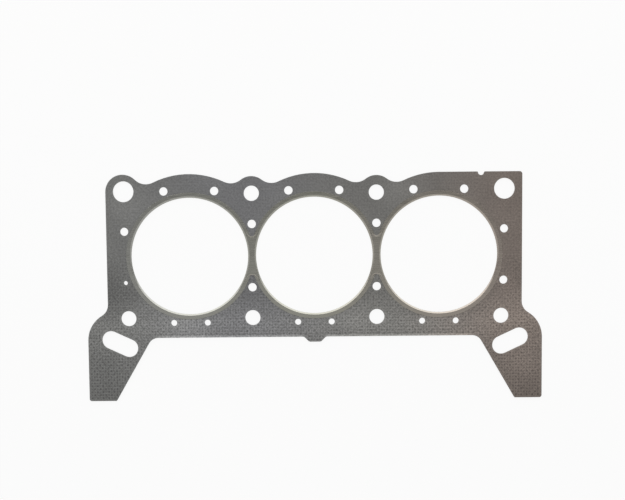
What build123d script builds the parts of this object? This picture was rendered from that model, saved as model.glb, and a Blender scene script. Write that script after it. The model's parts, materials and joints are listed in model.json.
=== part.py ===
from build123d import *
import os
from math import atan, cos, pi, radians, sin, sqrt, tan

# Composite cylinder head gasket for one three-bore bank of an engine, lying flat on its block face.
# X runs along the bore row, Y towards the dowel edge and Z up through the layers.
# The origin is on the middle bore's axis, level with the lowest steel. All lengths are in millimetres.

# Bores and the webs between them
bore_radius = 49.8
web_width = 6.8

# Composite sheet: a perforated steel core with a fibre facing rolled on to each side
sheet_thickness = 1.5

# Bore armour: one thin steel plate over the three bores, with a collar down each bore that is
# folded out under the sheet as a lip
armour_thickness = 0.2
flange_width = 4.4
web_corner_radius = 2.2
lip_width = 3.0
fold_run = 1.3
fold_drop = 0.75
armour_clearance = 0.02

# Head bolt holes on a square grid of the bore pitch, and dowel holes a little above the upper row
bolt_hole_radius = 6.5
dowel_hole_radius = 8.85
dowel_rise = 2.25
dowel_edge = 15.1

# Coolant holes, set round each bore outside its armour by a land of sheet
coolant_radius = 3.6
coolant_land = 1.65
coolant_spread = 21.6
web_coolant_land = 1.9
end_coolant_radius = 3.5
end_coolant_upper = 21.4
end_coolant_lower = 22.5
bleed_radius = 1.75
steam_radius = 2.6
steam_land = 2.2
steam_spread = 14.4

# Oil return slots in the legs, set off from the legs' inner slopes by a wall
slot_length = 32.3
slot_width = 15.5
slot_angle = 25.0
slot_wall = 5.1
slot_drop = 5.05

# Outer edge: walls beyond the bores, walls of the lobes round the holes and the valleys between them
crown_wall = 20.1
bottom_wall = 20.25
end_wall = 21.1
bolt_lobe_wall = 8.05
dowel_lobe_wall = 5.75
valley_radius = 13.5
square_corner_radius = 2.4

# Locating notch in the square end's top edge
notch_radius = 2.7
notch_depth = 3.05
notch_offset = 35.85
notch_lip_radius = 0.8

# Legs that reach past the ends of the block, narrowing from root to foot by the slope of the inner edge
leg_overhang = 17.5
leg_drop = 54.35
leg_root_width = 54.7
leg_slope = 60.0
shoulder_radius = 24.8
shoulder_drop = 1.75
shoulder_fillet = 11.0
crotch_radius = 9.5
heel_radius = 2.0
toe_radius = 1.0

# Tab at the middle of the bottom edge
tab_root_width = 18.9
tab_tip_width = 10.1
tab_drop = 4.4
tab_corner_radius = 3.0

# How near an edge or corner has to lie to its worked-out place to be taken for it
match_tolerance = 0.01

# Places that follow from the sizes above
bore_pitch = 2 * bore_radius + web_width
bore_x = (-bore_pitch, 0.0, bore_pitch)
web_x = bore_pitch / 2
end_bolt_x = bore_pitch + web_x
bolt_row = web_x
dowel_row = bolt_row + dowel_rise
crown_radius = bore_radius + crown_wall
bottom_y = -(bore_radius + bottom_wall)
end_x = bore_pitch + bore_radius + end_wall
leg_x = end_x + leg_overhang
leg_y = bottom_y - leg_drop
crotch_x = leg_x - leg_root_width
shoulder_x = leg_x - shoulder_radius
shoulder_y = bottom_y - shoulder_drop
dowel_x = end_x - dowel_edge
bolt_lobe_radius = bolt_hole_radius + bolt_lobe_wall
dowel_lobe_radius = dowel_hole_radius + dowel_lobe_wall
dowel_lobe_x = dowel_lobe_radius - end_x
dowel_lobe_y = crown_radius - dowel_lobe_radius
flange_radius = bore_radius + flange_width
lip_radius = bore_radius + lip_width
collar_radius = bore_radius + armour_thickness
fold_radius = bore_radius + fold_run
fold_angle = atan(fold_drop / fold_run)
fold_end_radius = fold_radius + armour_thickness * tan(fold_angle / 2)
sheet_bore_radius = fold_end_radius + armour_clearance
sheet_top = armour_thickness + sheet_thickness
armour_height = sheet_top + armour_thickness


def slope_x(y):
    # Where the inner slope of the leg at the square end stands at a height y.
    return crotch_x + (bottom_y - y) / tan(radians(leg_slope))


def across(circle_radius, offset):
    # The other coordinate of a point on a circle round a bore, from its offset along one axis.
    return sqrt(circle_radius**2 - offset**2)


def corner(sketch, x, y):
    return sketch.vertices().sort_by_distance((x, y, 0))[0]


def leg(side):
    # One leg with its round shoulder; side is 1 at the square end and -1 at the dowel lobe end.
    outer = (side * leg_x, shoulder_y)
    top = (side * shoulder_x, shoulder_y + shoulder_radius)
    inner = (side * slope_x(-bolt_row), -bolt_row)
    foot = Polyline(inner, (side * slope_x(leg_y), leg_y), (side * leg_x, leg_y), outer)
    shoulder = RadiusArc(outer, top, -side * shoulder_radius)
    return make_face([foot, shoulder, Line(top, inner)])


def tab():
    root = tab_root_width / 2
    tip = tab_tip_width / 2
    tip_y = bottom_y - tab_drop
    points = [(-root, bottom_y), (-tip, tip_y), (tip, tip_y), (root, bottom_y)]
    return make_face(Polyline(*points, close=True))


def block(left, bottom, right, top):
    return Pos((left + right) / 2, (bottom + top) / 2) * Rectangle(right - left, top - bottom)


def lobe(x, y, radius):
    # A round lobe on a stem that closes the sheet below it. Its seam is turned down into the stem.
    return block(x - radius, 0, x + radius, y - radius / 2) + Pos(x, y) * Rot(0, 0, -90) * Circle(radius)


def upper_half():
    # The sheet above the bore row: a crown over each bore, lobes, a square end and its locating notch.
    outline = block(bore_pitch, 0, end_x, crown_radius)
    outline += block(-end_x, 0, dowel_lobe_x, dowel_lobe_y)
    outline += lobe(dowel_lobe_x, dowel_lobe_y, dowel_lobe_radius)
    for x in bore_x:
        outline += Pos(x, 0) * Circle(crown_radius)
    for side in (-1, 1):
        outline += lobe(side * web_x, bolt_row, bolt_lobe_radius)
    outline -= Pos(bore_pitch + notch_offset, crown_radius - notch_depth + notch_radius) * Circle(notch_radius)
    return outline & block(-end_x, 0, end_x, 2 * crown_radius)


def raw_outline():
    # The sheet's outer edge before its corners are rounded.
    outline = upper_half() + block(-end_x, bottom_y, end_x, 0) + tab()
    for side in (-1, 1):
        outline += leg(side)
    return outline


def rounded_outline():
    outline = raw_outline()
    crown_top_x = bore_pitch - match_tolerance
    valleys = [v for v in outline.vertices() if v.Y > 0 and dowel_lobe_x < v.X < crown_top_x]
    outline = fillet(valleys, valley_radius)
    outline = fillet(corner(outline, end_x, crown_radius), square_corner_radius)
    for lip in (-notch_radius, notch_radius):
        outline = fillet(corner(outline, bore_pitch + notch_offset + lip, crown_radius), notch_lip_radius)
    shoulder_start = shoulder_y + across(shoulder_radius, end_x - shoulder_x)
    for side in (-1, 1):
        outline = fillet(corner(outline, side * end_x, shoulder_start), shoulder_fillet)
        outline = fillet(corner(outline, side * crotch_x, bottom_y), crotch_radius)
        outline = fillet(corner(outline, side * leg_x, leg_y), heel_radius)
        outline = fillet(corner(outline, side * slope_x(leg_y), leg_y), toe_radius)
        outline = fillet(corner(outline, side * tab_root_width / 2, bottom_y), tab_corner_radius)
        outline = fillet(corner(outline, side * tab_tip_width / 2, bottom_y - tab_drop), tab_corner_radius)
    return outline


def oil_slot(side):
    # A slanted slot whose lower, inner end keeps a wall of sheet to the leg's inner slope.
    half_run = (slot_length - slot_width) / 2
    y = bottom_y - slot_drop
    end_y = y - half_run * sin(radians(slot_angle))
    end_x_on_leg = slope_x(end_y) + (slot_width / 2 + slot_wall) / sin(radians(leg_slope))
    x = end_x_on_leg + half_run * cos(radians(slot_angle))
    return Pos(side * x, y) * SlotOverall(slot_length, slot_width, rotation=side * slot_angle)


def passages():
    # Every hole through the sheet apart from the bores: (x, y, radius) rounds and the two slots.
    coolant_circle = flange_radius + coolant_land + coolant_radius
    web_circle = flange_radius + web_coolant_land + coolant_radius
    end_circle = flange_radius + web_coolant_land + end_coolant_radius
    steam_circle = flange_radius + steam_land + steam_radius
    rounds = []
    for side in (-1, 1):
        for x in bore_x:
            rounds.append((x + side * coolant_spread, across(coolant_circle, coolant_spread), coolant_radius))
            rounds.append((x + side * steam_spread, -across(steam_circle, steam_spread), steam_radius))
        for row in (-1, 1):
            rounds.append((side * web_x, row * across(web_circle, web_x), coolant_radius))
            rounds.append((side * web_x, row * bolt_row, bolt_hole_radius))
        rounds.append((side * end_bolt_x, -bolt_row, bolt_hole_radius))
        rounds.append((side * dowel_x, dowel_row, dowel_hole_radius))
        upper_x = bore_pitch + across(end_circle, end_coolant_upper)
        lower_x = bore_pitch + across(end_circle, end_coolant_lower)
        lower_radius = end_coolant_radius if side > 0 else bleed_radius
        rounds.append((side * upper_x, end_coolant_upper, end_coolant_radius))
        rounds.append((side * lower_x, -end_coolant_lower, lower_radius))
    holes = Sketch() + [Pos(x, y) * Circle(radius) for x, y, radius in rounds]
    return holes + [oil_slot(side) for side in (-1, 1)]


def round_bores(radius):
    return [Pos(x, 0) * Circle(radius) for x in bore_x]


def composite_sheet():
    # The blanked sheet, with bores wide enough for the armour's folded collars.
    profile = rounded_outline() - passages() - round_bores(sheet_bore_radius)
    return Pos(0, 0, armour_thickness) * extrude(profile, sheet_thickness)


def armour_plate():
    # Three flanges that run into each other across the webs, with round corners where they part.
    flanges = Sketch() + round_bores(flange_radius)
    partings = [v for v in flanges.vertices() if abs(abs(v.X) - web_x) < match_tolerance]
    flanges = fillet(partings, web_corner_radius)
    return Pos(0, 0, sheet_top) * extrude(flanges - round_bores(fold_end_radius), armour_thickness)


def armour_collar():
    # One bore's collar, which slopes out into the flange above and the lip below at one thickness all the way.
    inner_drop = fold_drop + armour_thickness * tan((pi / 2 - fold_angle) / 2)
    bore_side = [
        (lip_radius, 0),
        (fold_radius, 0),
        (bore_radius, fold_drop),
        (bore_radius, armour_height - fold_drop),
        (fold_radius, armour_height),
        (fold_end_radius, armour_height),
    ]
    sheet_side = [
        (fold_end_radius, sheet_top),
        (collar_radius, armour_height - inner_drop),
        (collar_radius, inner_drop),
        (fold_end_radius, armour_thickness),
        (lip_radius, armour_thickness),
    ]
    section = Plane.XZ * make_face(Polyline(*bore_side, *sheet_side, close=True))
    return revolve(section, Axis.Z)


def bore_armour():
    return armour_plate() + [Pos(x, 0, 0) * armour_collar() for x in bore_x]


parts = {"composite_sheet": composite_sheet(), "bore_armour": bore_armour()}

os.makedirs("parts", exist_ok=True)
for name, part in parts.items():
    export_step(part, "parts/" + name + ".step")
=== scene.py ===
import json
import math

import bpy
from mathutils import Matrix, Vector


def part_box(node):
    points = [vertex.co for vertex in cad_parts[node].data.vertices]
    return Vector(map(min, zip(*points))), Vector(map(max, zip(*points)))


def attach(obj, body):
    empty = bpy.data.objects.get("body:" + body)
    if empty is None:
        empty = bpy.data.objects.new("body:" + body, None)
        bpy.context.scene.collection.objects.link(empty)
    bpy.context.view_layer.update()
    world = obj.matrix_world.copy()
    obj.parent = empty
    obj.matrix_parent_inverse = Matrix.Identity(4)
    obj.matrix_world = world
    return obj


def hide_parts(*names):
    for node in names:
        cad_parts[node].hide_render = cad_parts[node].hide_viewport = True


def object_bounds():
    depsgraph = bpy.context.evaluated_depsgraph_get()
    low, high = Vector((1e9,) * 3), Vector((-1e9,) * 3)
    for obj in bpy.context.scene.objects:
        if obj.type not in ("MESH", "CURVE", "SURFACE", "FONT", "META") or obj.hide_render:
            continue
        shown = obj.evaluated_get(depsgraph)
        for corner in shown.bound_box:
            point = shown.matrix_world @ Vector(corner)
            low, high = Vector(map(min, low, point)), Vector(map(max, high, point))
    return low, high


# Composite head gasket lying flat: its printed sheet, its folded bore armour, and a white studio.
# The frame is in metres, so sizes given in millimetres below are multiplied by mm.

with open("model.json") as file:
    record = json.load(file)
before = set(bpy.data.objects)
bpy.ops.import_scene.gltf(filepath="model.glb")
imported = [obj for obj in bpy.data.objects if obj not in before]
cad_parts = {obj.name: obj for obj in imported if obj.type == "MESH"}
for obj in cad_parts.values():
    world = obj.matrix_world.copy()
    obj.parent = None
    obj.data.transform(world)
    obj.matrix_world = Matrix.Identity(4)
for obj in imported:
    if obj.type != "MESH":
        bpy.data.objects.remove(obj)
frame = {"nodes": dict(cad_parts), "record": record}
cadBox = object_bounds()  # the solids' own box, before anything is dressed
mm = 0.001
touch = 0.001 * mm  # points nearer to each other than this are one point
flatAngle = 0.3  # degrees, faces that turn by less than this are one flat face
noiseLow, noiseHigh = 0.3, 0.7  # between which nearly all of a noise pattern lies
boreMounts = [m for m in frame["record"]["mounts"] if m["name"].startswith("cylinder_bore")]
boreCentres = [Vector(m["pos_m"]).xy for m in boreMounts]
boreRadius = boreMounts[0]["dims"]["r_mm"] * mm
print("frame loaded, bores at", [round(c.x, 4) for c in boreCentres])


def linear(hexColour):
    # sRGB hex to the linear colour that the shaders work in
    channels = [int(hexColour[i:i + 2], 16) / 255 for i in (1, 3, 5)]
    return (*[c / 12.92 if c <= 0.04045 else ((c + 0.055) / 1.055) ** 2.4 for c in channels], 1.0)


def grey(level):
    return (level, level, level, 1)


def addNode(tree, kind, inputs=None, **settings):
    # inputs are set by socket name or number: a socket is linked, anything else is a fixed value
    node = tree.nodes.new(kind)
    for name, value in settings.items():
        setattr(node, name, value)
    for socket, value in (inputs or {}).items():
        if isinstance(value, bpy.types.NodeSocket):
            tree.links.new(value, node.inputs[socket])
        else:
            node.inputs[socket].default_value = value
    return node


def colourAlong(tree, value, stops, interpolation):
    # a colour that changes with a value from stop to stop: (value, colour)
    first, last = stops[0][0], stops[-1][0]
    along = addNode(tree, "ShaderNodeMapRange", {"Value": value, "From Min": first, "From Max": last})
    ramp = addNode(tree, "ShaderNodeValToRGB", {"Fac": along.outputs[0]})
    points = ramp.color_ramp.elements
    ramp.color_ramp.interpolation = interpolation
    for number, (at, colour) in enumerate(stops):
        position = (at - first) / (last - first)
        stop = points[number] if number < 2 else points.new(position)  # a new ramp has two points
        stop.position, stop.color = position, colour
    return ramp.outputs["Color"]


def emptyTree(owner):
    owner.use_nodes = True
    owner.node_tree.nodes.clear()
    return owner.node_tree


def pickOnly(piece):
    bpy.ops.object.select_all(action="DESELECT")
    piece.select_set(True)
    bpy.context.view_layer.objects.active = piece


def editPiece(piece, selectMode):
    pickOnly(piece)
    bpy.context.tool_settings.mesh_select_mode = [selectMode == m for m in ("VERT", "EDGE", "FACE")]
    bpy.ops.object.mode_set(mode="EDIT")


def leaveEdit():
    bpy.ops.object.mode_set(mode="OBJECT")


def mergedCopy(nodeName, pieceName):
    # a node's loose triangles welded and its flat faces made whole again
    piece = bpy.data.objects.new(pieceName, frame["nodes"][nodeName].data.copy())
    bpy.context.scene.collection.objects.link(piece)
    piece.data.materials.clear()
    editPiece(piece, "VERT")
    bpy.ops.mesh.select_all(action="SELECT")
    bpy.ops.mesh.customdata_custom_splitnormals_clear()
    bpy.ops.mesh.remove_doubles(threshold=touch)
    bpy.ops.mesh.dissolve_limited(angle_limit=math.radians(flatAngle))
    leaveEdit()
    return piece


def rollEdges(piece, sharpness, wanted, offset, segments):
    # rounds the edges that turn by more than the given angle and whose two ends are where they are wanted
    editPiece(piece, "EDGE")
    bpy.ops.mesh.select_all(action="DESELECT")
    bpy.ops.mesh.edges_select_sharp(sharpness=math.radians(sharpness))
    leaveEdit()
    mesh = piece.data
    points = mesh.vertices
    chosen = [e.index for e in mesh.edges if e.select and wanted(*[points[i].co for i in e.vertices])]
    for item in [*points, *mesh.edges, *mesh.polygons]:
        item.select = False
    for index in chosen:
        mesh.edges[index].select = True
    editPiece(piece, "EDGE")
    bpy.ops.mesh.bevel(offset=offset * mm, segments=segments, affect="EDGES", clamp_overlap=False)
    leaveEdit()
    print(piece.name, "edges rolled:", len(chosen))


def shadeSmooth(piece, angle):
    # smooth shading in which the wide faces stay flat and the narrow rolls do the turning
    pickOnly(piece)
    bpy.ops.object.shade_smooth_by_angle(angle=math.radians(angle))
    weighted = piece.modifiers.new("flat faces", "WEIGHTED_NORMAL")
    weighted.keep_sharp = True
    bpy.ops.object.modifier_apply(modifier=weighted.name)


def addArray(piece, count, offset):
    array = piece.modifiers.new("repeat", "ARRAY")
    array.count = count
    array.use_relative_offset = False
    array.use_constant_offset = True
    array.constant_offset_displace = offset
    pickOnly(piece)
    bpy.ops.object.modifier_apply(modifier=array.name)


def joinPieces(pieces):
    bpy.ops.object.select_all(action="DESELECT")
    for piece in pieces:
        piece.select_set(True)
    bpy.context.view_layer.objects.active = pieces[0]
    bpy.ops.object.join()
    return pieces[0]


def pressIn(piece, tool, material):
    # takes a tool's shape out of a piece and gives the mark that it leaves a material
    tool.data.materials.clear()
    tool.data.materials.append(material)
    mark = piece.modifiers.new("mark", "BOOLEAN")
    mark.operation = "DIFFERENCE"
    mark.solver = "EXACT"
    mark.material_mode = "TRANSFER"
    mark.object = tool
    pickOnly(piece)
    bpy.ops.object.modifier_apply(modifier=mark.name)
    bpy.data.objects.remove(tool)


facingLook = {
    # tint along the bore row, from the dowel lobe end to the square end: (mm, colour); the grey is the
    # facing's own, the warmer brown towards the square end is painted warm light
    "tints": [(-180, "#747472"), (-60, "#737374"), (60, "#747370"), (180, "#796f68")],
    # painted sheen in bands across the sheet, lightest near -58 mm where a soft light's sheen falls: mm
    # across it, lightness of the face and of the prints, and how far the flecks stray from that lightness
    "sheenBands": [
        {"at": -124, "face": 0.98, "print": 0.61, "fleck": 0.40},
        {"at": -90, "face": 1.12, "print": 0.71, "fleck": 0.45},
        {"at": -74, "face": 1.27, "print": 0.84, "fleck": 0.55},
        {"at": -58, "face": 1.49, "print": 1.01, "fleck": 0.55},
        {"at": -46, "face": 1.27, "print": 0.94, "fleck": 0.50},
        {"at": -30, "face": 1.03, "print": 0.80, "fleck": 0.45},
        {"at": 10, "face": 1.06, "print": 0.95, "fleck": 0.28},
        {"at": 70, "face": 1.02, "print": 0.95, "fleck": 0.26},
    ],
    "bandWander": 8.0,       # mm by which the bands stray
    # places made lighter or darker in soft round patches: (mm along, mm across, mm round, lightness)
    "lighterOrDarker": [(-182, -38, 42, 0.73), (-156, 48, 32, 1.22), (-112, -59, 28, 1.28), (-34, 54, 22, 1.14),
               (34, -56, 20, 1.15), (70, 54, 22, 1.15), (166, -38, 30, 1.16), (170, -94, 30, 1.18)],
    # a painted highlight, a light strip along the long bottom edge: (mm across, added lightness), and how
    # much of that there is
    # between the tab and the legs: (mm either way from the middle, share)
    "edgeHighlight": [(-70.2, 0.0), (-70.1, 0.62), (-69.0, 0.58), (-67.8, 0.0)],
    "edgeHighlightShare": [(8.5, 0.0), (10.5, 1.0), (130, 1.0), (138, 0.0)],
    "cloudSize": 38.0,       # mm, broad light and dark clouds
    "cloudDepth": 0.08,
    "fleckSize": 1.6,        # mm, fibre bundles, drawn coarser than the real ones so that they show
    "grainSize": 0.7,        # mm, rubber and filler grain of the surface
    "grainHeight": 0.02,     # mm
    "grainStrength": 0.5,
    "roughness": (0.52, 0.68),
    "ior": 1.5,
    "specular": 0.35,
}


def facingColour(tree, place, part, cloud, fleck):
    # The tint, with painted warm light towards the square end, and all that lightens or darkens it: painted
    # sheen bands, patches made lighter or darker, a painted highlight along the bottom edge, clouds and
    # flecks.
    # The part is "face" for the open surface and "print" for the dents over the core's tangs, painted darker
    # as shade.
    look = facingLook
    wander = look["bandWander"] * mm
    stray = addNode(tree, "ShaderNodeVectorMath", {0: cloud.outputs["Color"], 1: (wander, wander, 0)},
                    operation="MULTIPLY")
    strayed = addNode(tree, "ShaderNodeVectorMath", {0: place, 1: stray.outputs[0]}, operation="ADD")
    where = addNode(tree, "ShaderNodeSeparateXYZ", {0: strayed.outputs[0]}).outputs
    # the facing's grey, with painted warm light towards the square end
    colour = colourAlong(tree, where["X"], [(at * mm, linear(tint)) for at, tint in look["tints"]], "EASE")
    levels = {}
    # painted sheen: the lightness across the sheet from the bands, and for the prints painted shade in the
    # dents as well
    for column in (part, "fleck"):
        stops = [(band["at"] * mm + wander / 2, grey(band[column])) for band in look["sheenBands"]]
        levels[column] = colourAlong(tree, where["Y"], stops, "EASE")
    gains = [levels[part]]

    # soft round patches made lighter or darker
    for x, y, reach, lightness in look["lighterOrDarker"]:
        apart = addNode(tree, "ShaderNodeVectorMath", {0: place, 1: (x * mm, y * mm, 0)},
                        operation="DISTANCE")
        lighterOrDarker = addNode(tree, "ShaderNodeMapRange", {
            "Value": apart.outputs["Value"], "From Max": reach * mm, "To Min": lightness, "To Max": 1.0},
            interpolation_type="SMOOTHSTEP")
        gains.append(lighterOrDarker.outputs[0])

    spot = addNode(tree, "ShaderNodeSeparateXYZ", {0: place}).outputs
    fromMiddle = addNode(tree, "ShaderNodeMath", {0: spot["X"]}, operation="ABSOLUTE").outputs[0]
    # painted highlight: a light strip along the long bottom edge
    edgeHighlight, share = [
        colourAlong(tree, value, [(at * mm, grey(level)) for at, level in look[stops]], "LINEAR")
        for value, stops in ((spot["Y"], "edgeHighlight"), (fromMiddle, "edgeHighlightShare"))]
    highlitEdge = addNode(tree, "ShaderNodeMath", {0: edgeHighlight, 1: share, 2: 1.0}, operation="MULTIPLY_ADD")
    gains.append(highlitEdge.outputs[0])

    cloudRange = (1 - look["cloudDepth"], 1 + look["cloudDepth"])
    fleckRange = [
        addNode(tree, "ShaderNodeMath", {0: 1.0, 1: levels["fleck"]}, operation=change).outputs[0]
        for change in ("SUBTRACT", "ADD")]
    for noise, (darkest, lightest) in ((cloud, cloudRange), (fleck, fleckRange)):
        speckle = addNode(tree, "ShaderNodeMapRange", {
            "Value": noise.outputs["Fac"], "From Min": noiseLow, "From Max": noiseHigh,
            "To Min": darkest, "To Max": lightest})
        gains.append(speckle.outputs[0])

    for gain in gains:
        colour = addNode(tree, "ShaderNodeVectorMath", {0: colour, 1: gain}, operation="MULTIPLY").outputs[0]
    return colour


def makeFacingMaterial(name, part):
    # Rubber-bound fibre facing, calendered on to the core: dull, dark and a little cloudy, with no mirror.
    look = facingLook
    material = bpy.data.materials.new(name)
    tree = emptyTree(material)
    place = addNode(tree, "ShaderNodeTexCoord").outputs["Object"]
    cloud = addNode(tree, "ShaderNodeTexNoise", {
        "Vector": place, "Scale": 1 / (look["cloudSize"] * mm), "Detail": 3.0, "Roughness": 0.55})
    fleck = addNode(tree, "ShaderNodeTexNoise", {
        "Vector": place, "Scale": 1 / (look["fleckSize"] * mm), "Detail": 4.0, "Roughness": 0.7})
    grain = addNode(tree, "ShaderNodeTexNoise", {
        "Vector": place, "Scale": 1 / (look["grainSize"] * mm), "Detail": 2.0, "Roughness": 0.6})
    rough = addNode(tree, "ShaderNodeMapRange", {
        "Value": fleck.outputs["Fac"], "From Min": noiseLow, "From Max": noiseHigh,
        "To Min": look["roughness"][0], "To Max": look["roughness"][1]})
    bump = addNode(tree, "ShaderNodeBump", {
        "Height": grain.outputs["Fac"], "Strength": look["grainStrength"],
        "Distance": look["grainHeight"] * mm})
    shader = addNode(tree, "ShaderNodeBsdfPrincipled", {
        "Base Color": facingColour(tree, place, part, cloud, fleck), "Roughness": rough.outputs[0],
        "Normal": bump.outputs[0], "IOR": look["ior"], "Specular IOR Level": look["specular"]})
    addNode(tree, "ShaderNodeOutputMaterial", {"Surface": shader.outputs[0]})
    return material


steelLook = {
    # along the bore row, (mm, colour): faintly olive, as thin rolled steel is under its oil film, and warmer
    # towards the square end as painted warm light
    "armour": [(-160, "#b4b4ae"), (0, "#b4b3a8"), (160, "#b9aea4")],
    "crease": [(-160, "#c0bfb6"), (160, "#c3baae")],  # lighter in the creases as a painted highlight along the crease arcs, warmer towards the square end as painted warm light
    "core": [(-160, "#b4b2ae"), (160, "#b4b2ae")],  # bare punched edge of the core
    "streakSize": (14.0, 0.5),  # mm along and across the rolling direction
    "streakDepth": 0.08,
    "roughness": (0.2, 0.32),
}


def makeSteelMaterial(name, tints):
    # Thin cold-rolled steel: satin, with faint streaks along the rolling direction, bright where folded.
    look = steelLook
    material = bpy.data.materials.new(name)
    tree = emptyTree(material)
    place = addNode(tree, "ShaderNodeTexCoord").outputs["Object"]
    where = addNode(tree, "ShaderNodeSeparateXYZ", {0: place})
    tint = colourAlong(tree, where.outputs["X"], [(at * mm, linear(c)) for at, c in tints], "LINEAR")
    along, aside = [1 / (size * mm) for size in look["streakSize"]]
    drawn = addNode(tree, "ShaderNodeMapping", {"Vector": place, "Scale": (along, aside, aside)})
    streak = addNode(tree, "ShaderNodeTexNoise", {"Vector": drawn.outputs[0], "Scale": 1.0, "Detail": 3.0})
    gain, rough = [
        addNode(tree, "ShaderNodeMapRange", {
            "Value": streak.outputs["Fac"], "From Min": noiseLow, "From Max": noiseHigh,
            "To Min": lowest, "To Max": highest}).outputs[0]
        for lowest, highest in ((1 - look["streakDepth"], 1 + look["streakDepth"]), look["roughness"])]
    colour = addNode(tree, "ShaderNodeVectorMath", {0: tint, 1: gain}, operation="MULTIPLY")
    shader = addNode(tree, "ShaderNodeBsdfPrincipled", {
        "Base Color": colour.outputs[0], "Roughness": rough, "Metallic": 1.0})
    addNode(tree, "ShaderNodeOutputMaterial", {"Surface": shader.outputs[0]})
    return material


sheetSettings = {
    "rimAngle": 60,          # degrees, a sharper edge than this is a cut one
    "rimRoll": 0.12,         # mm that the punch rounds off every cut edge
    "rimSegments": 2,
    "coreBand": (0.6, 0.9),  # mm above the underside, between which the steel core shows in a cut edge
    "printPitch": (2.4, 2.6),  # mm between the core's tangs along and across the sheet
    # a print's half width at the face, half width at its floor, and depth, all in mm
    "strongPrint": (1.0, 0.6, 0.08),  # on the side that a tang points to
    "weakPrint": (0.55, 0.3, 0.04),  # on its other side
    "printSides": 4,
    "printMargin": 1.1,      # mm from a print's middle to the nearest edge
    "marginProbes": 8,       # places round a print where that margin is looked for
    "smoothAngle": 30,
}


def makePunches(sheet, low, high):
    # Punches for one cell of two by two tangs, which point up and down by turns. The cell is repeated over
    # the whole sheet, and the punches that would miss the face or break its edge are taken out.
    s = sheetSettings
    pitchX, pitchY = [size * mm for size in s["printPitch"]]
    cones = []
    for column, row in ((0, 0), (0, 1), (1, 0), (1, 1)):
        for z, facesUp in ((high.z, True), (low.z, False)):
            strong = facesUp == (column == row)
            face, floor, depth = [size * mm for size in s["strongPrint" if strong else "weakPrint"]]
            mouth = 2 * face - floor  # as far outside the face as the floor is inside
            bottom, top = (floor, mouth) if facesUp else (mouth, floor)
            bpy.ops.mesh.primitive_cone_add(
                vertices=s["printSides"], radius1=bottom, radius2=top, depth=2 * depth,
                location=(low.x + column * pitchX, low.y + row * pitchY, z))
            bpy.ops.object.transform_apply(location=True, rotation=True, scale=True)
            cones.append(bpy.context.object)
    punches = joinPieces(cones)
    addArray(punches, math.ceil((high.x - low.x) / pitchX / 2), (2 * pitchX, 0, 0))
    addArray(punches, math.ceil((high.y - low.y) / pitchY / 2), (0, 2 * pitchY, 0))

    margin = s["printMargin"] * mm
    turns = [2 * math.pi * n / s["marginProbes"] for n in range(s["marginProbes"])]
    probes = [Vector((math.cos(turn), math.sin(turn), 0)) * margin for turn in turns]
    points = punches.data.vertices
    coneSize = 2 * s["printSides"]  # points of one punch
    kept = 0
    for first in range(0, len(points), coneSize):
        cone = points[first:first + coneSize]
        middle = sum((point.co for point in cone), Vector()) / coneSize
        middle.z = high.z + margin
        hits = (sheet.ray_cast(middle + probe, (0, 0, -1))[:2] for probe in probes)
        clear = all(hit and high.z - spot.z <= touch for hit, spot in hits)
        kept += clear
        for point in cone:
            point.select = not clear
    for item in [*punches.data.edges, *punches.data.polygons]:
        item.select = False
    editPiece(punches, "VERT")
    bpy.ops.mesh.delete(type="VERT")
    leaveEdit()
    print("prints on both faces:", kept)
    return punches


def makeSheet(facing, coreSteel, shadedPrintFacing):
    s = sheetSettings
    low, high = [Vector(corner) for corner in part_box("composite_sheet")]
    sheet = mergedCopy("composite_sheet", "gasketSheet")
    materials = [facing, coreSteel, shadedPrintFacing]
    for material in materials:
        sheet.data.materials.append(material)

    rollEdges(sheet, s["rimAngle"], lambda a, b: True, s["rimRoll"], s["rimSegments"])
    bandLow, bandHigh = [low.z + height * mm for height in s["coreBand"]]
    editPiece(sheet, "EDGE")
    for z in (bandLow, bandHigh):
        bpy.ops.mesh.select_all(action="SELECT")
        bpy.ops.mesh.bisect(plane_co=(0, 0, z), plane_no=(0, 0, 1))
    leaveEdit()
    for face in sheet.data.polygons:
        if bandLow < face.center.z < bandHigh:
            face.material_index = materials.index(coreSteel)
    print("sheet cut, faces:", len(sheet.data.polygons))

    pressIn(sheet, makePunches(sheet, low, high), shadedPrintFacing)
    shadeSmooth(sheet, s["smoothAngle"])
    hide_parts("composite_sheet")
    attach(sheet, "root")
    print("sheet printed, faces:", len(sheet.data.polygons))


armourSettings = {
    "rimAngle": 60,          # degrees, a sharper edge than this is a punched one
    "rimRoll": 0.07,         # mm, punched edges of the plate and of the lips
    "rimSegments": 2,
    "bendAngle": 20,         # degrees, a sharper edge than this near a bore is a bend
    "bendRoll": 0.2,         # mm trimmed off each side of a fold's two bends
    "bendSegments": 3,
    "foldReach": 2.0,        # mm from the bores within which the folds lie
    "near": 0.01,            # mm within which a point is on a face or on a bore's wall
    "creaseAt": 16.2,        # mm from a web's middle to the deepest place of the crease at each of its ends
    "creaseRadius": 4.8,     # mm, round which the crease turns
    "creaseWidth": 1.0,      # mm
    "creaseDepth": 0.08,     # mm
    "creaseSides": (72, 96),  # round the crease and round the edge of the tool that presses it
    "smoothAngle": 25,
}


def makeCreaser(high):
    # Rings set a little aslant, so that each crease is deepest towards its web and fades out at both sides.
    s = armourSettings
    radius, width, depth = [s[size] * mm for size in ("creaseRadius", "creaseWidth", "creaseDepth")]
    edge = (width ** 2 / 4 + depth ** 2) / (2 * depth)  # radius whose arc has that width and depth
    rings = []
    for left, right in zip(boreCentres, boreCentres[1:]):
        for side in (-1, 1):
            bpy.ops.mesh.primitive_torus_add(
                major_radius=radius, minor_radius=edge,
                major_segments=s["creaseSides"][0], minor_segments=s["creaseSides"][1],
                location=((left.x + right.x) / 2, side * (s["creaseAt"] * mm + radius), high.z + edge),
                rotation=(side * math.asin(depth / radius), 0, 0))
            bpy.ops.object.transform_apply(location=True, rotation=True, scale=True)
            rings.append(bpy.context.object)
    return joinPieces(rings)


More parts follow.
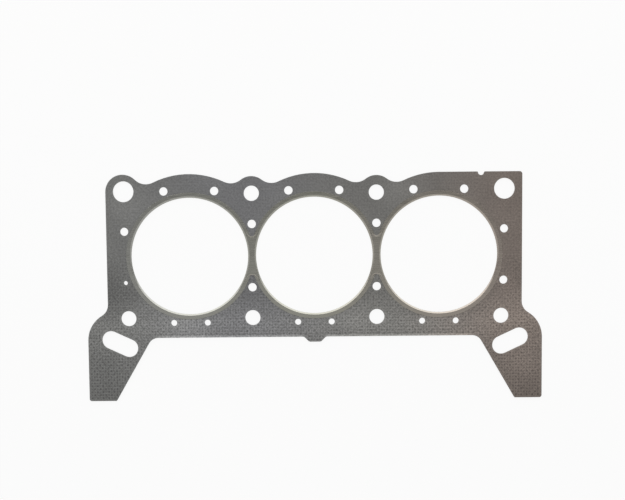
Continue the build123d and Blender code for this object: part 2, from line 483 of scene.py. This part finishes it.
def makeArmour(armourSteel, creaseHighlightSteel):
    s = armourSettings
    low, high = [Vector(corner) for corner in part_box("bore_armour")]
    armour = mergedCopy("bore_armour", "boreArmour")
    for material in (armourSteel, creaseHighlightSteel):
        armour.data.materials.append(material)
    foldReach, near = s["foldReach"] * mm, s["near"] * mm

    def fromWall(point):
        return min((point.xy - centre).length for centre in boreCentres) - boreRadius

    def onFace(point):
        return min(point.z - low.z, high.z - point.z) < near

    def isBend(a, b):
        # on the bore side of a fold: a ring on the bore's wall or on an outer face
        return all(fromWall(p) < (foldReach if onFace(p) else near) for p in (a, b))

    def isRim(a, b):
        return all(onFace(p) and fromWall(p) > foldReach for p in (a, b))

    rollEdges(armour, s["rimAngle"], isRim, s["rimRoll"], s["rimSegments"])
    rollEdges(armour, s["bendAngle"], isBend, s["bendRoll"], s["bendSegments"])
    # creases pressed in, their steel painted lighter as a painted highlight
    pressIn(armour, makeCreaser(high), creaseHighlightSteel)
    shadeSmooth(armour, s["smoothAngle"])
    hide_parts("bore_armour")
    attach(armour, "root")
    print("armour folded, faces:", len(armour.data.polygons))


studio = {
    "floorSize": 8.0,        # m
    "floorGap": 0.02,        # mm between the floor and the lowest steel
    "floorColour": "#f0f0ef",
    "floorWhite": 0.9,       # share of plain white in what the eye sees of it; the rest carries the shadow
    # the tent's light by height, from 0 at the horizon to 1 overhead
    "tent": [(0.0, 0.95), (0.12, 0.95), (0.25, 0.66)],
    # the darker gap over the bore row that the camera looks in by, as parts of the tent's radius
    "gapMiddle": 0.21,       # towards the dowel edge
    "gapReach": (0.29, 0.38),  # half its width, to where it begins and stops fading
    "gapStretch": 2.5,       # how many times longer it is than wide
    "gapLight": 0.42,        # share of light left in it
    "windowPlace": (0.0, 0.95, 0.7),  # m, a wide panel that stands beyond the dowel edge
    "windowSize": (3.4, 1.2),  # m
    "windowPower": 12.6,     # W
}


def makeFloor():
    # White paper: matt, and plain white to the eye, straight or mirrored, apart from a soft shadow.
    bpy.ops.object.select_all(action="DESELECT")
    floorZ = cadBox[0][2] - studio["floorGap"] * mm
    bpy.ops.mesh.primitive_plane_add(size=studio["floorSize"], location=(0, 0, floorZ))
    floor = bpy.context.object
    floor.name = "floor"
    paper = bpy.data.materials.new("white paper")
    tree = emptyTree(paper)
    path = addNode(tree, "ShaderNodeLightPath").outputs
    seen = path["Is Camera Ray"]
    for ray in ("Is Glossy Ray", "Is Transmission Ray"):
        seen = addNode(tree, "ShaderNodeMath", {0: seen, 1: path[ray]}, operation="MAXIMUM").outputs[0]
    share = addNode(tree, "ShaderNodeMath", {0: seen, 1: studio["floorWhite"]}, operation="MULTIPLY")
    lit = addNode(tree, "ShaderNodeBsdfDiffuse", {"Color": linear(studio["floorColour"])})
    white = addNode(tree, "ShaderNodeEmission", {"Color": grey(1), "Strength": 1.0})
    mix = addNode(tree, "ShaderNodeMixShader", {0: share.outputs[0], 1: lit.outputs[0], 2: white.outputs[0]})
    addNode(tree, "ShaderNodeOutputMaterial", {"Surface": mix.outputs[0]})
    floor.data.materials.append(paper)


def makeTent():
    # A white tent all round, with a long oval gap overhead that keeps the flat steel dark.
    world = bpy.data.worlds.new("studio")
    tree = emptyTree(world)
    direction = addNode(tree, "ShaderNodeTexCoord").outputs["Generated"]
    height = addNode(tree, "ShaderNodeSeparateXYZ", {0: direction}).outputs["Z"]
    tent = colourAlong(tree, height, [(at, grey(light)) for at, light in studio["tent"]], "LINEAR")
    fromGap = addNode(tree, "ShaderNodeVectorMath", {0: direction, 1: (0, studio["gapMiddle"], 0)},
                      operation="SUBTRACT")
    squeeze = (1 / studio["gapStretch"], 1, 0)
    oval = addNode(tree, "ShaderNodeVectorMath", {0: fromGap.outputs[0], 1: squeeze}, operation="MULTIPLY")
    apart = addNode(tree, "ShaderNodeVectorMath", {0: oval.outputs[0]}, operation="LENGTH")
    fadeStart, fadeEnd = studio["gapReach"]
    gap = addNode(tree, "ShaderNodeMapRange", {
        "Value": apart.outputs["Value"], "From Min": fadeStart, "From Max": fadeEnd,
        "To Min": studio["gapLight"], "To Max": 1.0}, interpolation_type="SMOOTHSTEP")
    sky = addNode(tree, "ShaderNodeBackground", {"Color": tent, "Strength": gap.outputs[0]})
    addNode(tree, "ShaderNodeOutputWorld", {"Surface": sky.outputs[0]})
    bpy.context.scene.world = world


def makeWindow():
    data = bpy.data.lights.new("windowPanel", "AREA")
    data.shape = "RECTANGLE"
    data.size, data.size_y = studio["windowSize"]
    data.energy = studio["windowPower"]
    window = bpy.data.objects.new("windowPanel", data)
    window.location = studio["windowPlace"]
    window.rotation_euler = (-Vector(studio["windowPlace"])).to_track_quat("-Z", "Y").to_euler()
    bpy.context.scene.collection.objects.link(window)


cameraSettings = {
    "lens": 40.0,            # mm
    "sensor": 36.0,          # mm wide
    "aim": (-1.54, 4.40),    # mm, the point of the sheet's face in the middle of the picture
    "distance": 592.7,       # mm
    "lean": 2.74,            # degrees from straight above, towards the dowel edge
    "turn": 0.526,           # degrees that the gasket lies turned in the picture
}


def makeCamera():
    s = cameraSettings
    data = bpy.data.cameras.new("camera")
    data.lens = s["lens"]
    data.sensor_width = s["sensor"]
    camera = bpy.data.objects.new("camera", data)
    camera.rotation_euler = (-math.radians(s["lean"]), 0, -math.radians(s["turn"]))
    back = camera.rotation_euler.to_matrix() @ Vector((0, 0, 1))
    aim = Vector((s["aim"][0] * mm, s["aim"][1] * mm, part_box("composite_sheet")[1][2]))
    camera.location = aim + back * s["distance"] * mm
    bpy.context.scene.collection.objects.link(camera)
    bpy.context.scene.camera = camera


facing = makeFacingMaterial("rubber-bound fibre facing", "face")
# the prints' darker lightness is painted shade in the dents
shadedPrintFacing = makeFacingMaterial("fibre facing with painted print shade", "print")
coreSteel = makeSteelMaterial("punched core steel", steelLook["core"])
# its warmer tint towards the square end is painted warm light
armourSteel = makeSteelMaterial("cold-rolled armour steel", steelLook["armour"])
# the crease steel is painted lighter: a painted highlight along the crease arcs
creaseHighlightSteel = makeSteelMaterial("armour steel with painted crease highlight", steelLook["crease"])
print("materials made")
makeSheet(facing, coreSteel, shadedPrintFacing)
makeArmour(armourSteel, creaseHighlightSteel)
makeFloor()
makeTent()
makeWindow()
makeCamera()
bpy.context.scene.view_settings.view_transform = "Standard"
print("studio and camera set")
